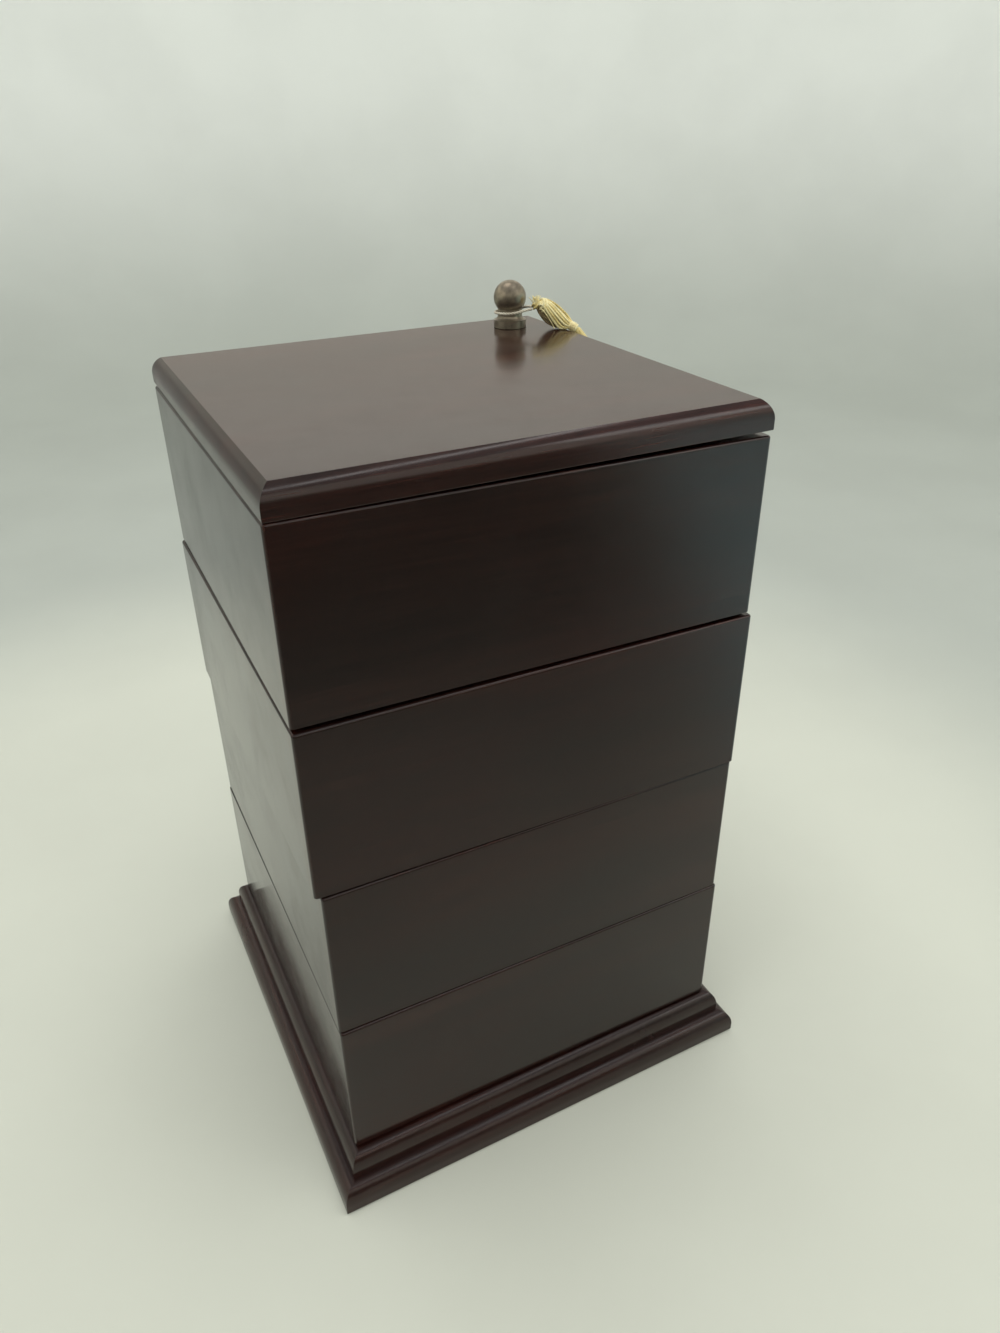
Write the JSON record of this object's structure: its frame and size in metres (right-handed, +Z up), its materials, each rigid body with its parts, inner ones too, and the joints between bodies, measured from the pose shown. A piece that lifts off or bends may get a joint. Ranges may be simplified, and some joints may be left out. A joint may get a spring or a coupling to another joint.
{
  "type": "swivel jewelry box",
  "caption": "Tall square box of stacked trays and a lid that swivel out sideways on one corner rod, on a moulded base, with a ball finial and a tassel.",
  "frame": {"origin": "middle of the base's underside, on the surface that the box stands on", "axes": "+X to the right along the front, +Y towards the back, +Z up along the swivel rod"},
  "size_m": [0.171, 0.171, 0.283],
  "materials": {
    "mahogany": "dark gloss lacquer over straight-grained mahogany",
    "felt_lining": "matt felt",
    "base_felt": "matt felt",
    "brass": "aged, satin",
    "steel": "turned",
    "gold_yarn": "metallic gold cord",
    "gold_thread": "pale gold twisted thread"
  },
  "bodies": {
    "base": {"base_board": "mahogany", "base_felt": "base_felt", "base_moulding_front": "mahogany", "base_moulding_back": "mahogany", "base_moulding_left": "mahogany", "base_moulding_right": "mahogany", "swivel_rod": "steel", "rod_nut": "steel", "rod_washer": "steel", "spacer_base": "steel", "spacer_tray_4": "steel", "spacer_tray_3": "steel", "spacer_tray_2": "steel", "spacer_tray_1": "steel", "finial": "brass"},
    "tray_1": {"tray_1_front": "mahogany", "tray_1_back": "mahogany", "tray_1_left": "mahogany", "tray_1_right": "mahogany", "tray_1_bottom": "mahogany", "tray_1_post": "mahogany", "tray_1_lining": "felt_lining"},
    "tray_2": {"tray_2_front": "mahogany", "tray_2_back": "mahogany", "tray_2_left": "mahogany", "tray_2_right": "mahogany", "tray_2_bottom": "mahogany", "tray_2_post": "mahogany", "tray_2_lining": "felt_lining"},
    "tray_3": {"tray_3_front": "mahogany", "tray_3_back": "mahogany", "tray_3_left": "mahogany", "tray_3_right": "mahogany", "tray_3_bottom": "mahogany", "tray_3_post": "mahogany", "tray_3_lining": "felt_lining"},
    "tray_4": {"tray_4_front": "mahogany", "tray_4_back": "mahogany", "tray_4_left": "mahogany", "tray_4_right": "mahogany", "tray_4_bottom": "mahogany", "tray_4_post": "mahogany", "tray_4_lining": "felt_lining"},
    "lid": {"lid_panel": "mahogany", "tassel_thread": "gold_thread", "tassel_knot": "gold_yarn", "tassel_loops": "gold_yarn", "tassel_band": "gold_yarn", "tassel_skirt": "gold_yarn"}
  },
  "joints": [
    {"name": "lid_swivel", "type": "hinge", "parent": "base", "child": "lid", "pos_m": [0.0567, 0.0567, 0], "axis": [0, 0, 1], "continuous": true},
    {"name": "tray_1_swivel", "type": "hinge", "parent": "base", "child": "tray_1", "pos_m": [0.0567, 0.0567, 0], "axis": [0, 0, 1], "continuous": true},
    {"name": "tray_2_swivel", "type": "hinge", "parent": "base", "child": "tray_2", "pos_m": [0.0567, 0.0567, 0], "axis": [0, 0, 1], "continuous": true},
    {"name": "tray_3_swivel", "type": "hinge", "parent": "base", "child": "tray_3", "pos_m": [0.0567, 0.0567, 0], "axis": [0, 0, 1], "continuous": true},
    {"name": "tray_4_swivel", "type": "hinge", "parent": "base", "child": "tray_4", "pos_m": [0.0567, 0.0567, 0], "axis": [0, 0, 1], "continuous": true}
  ]
}
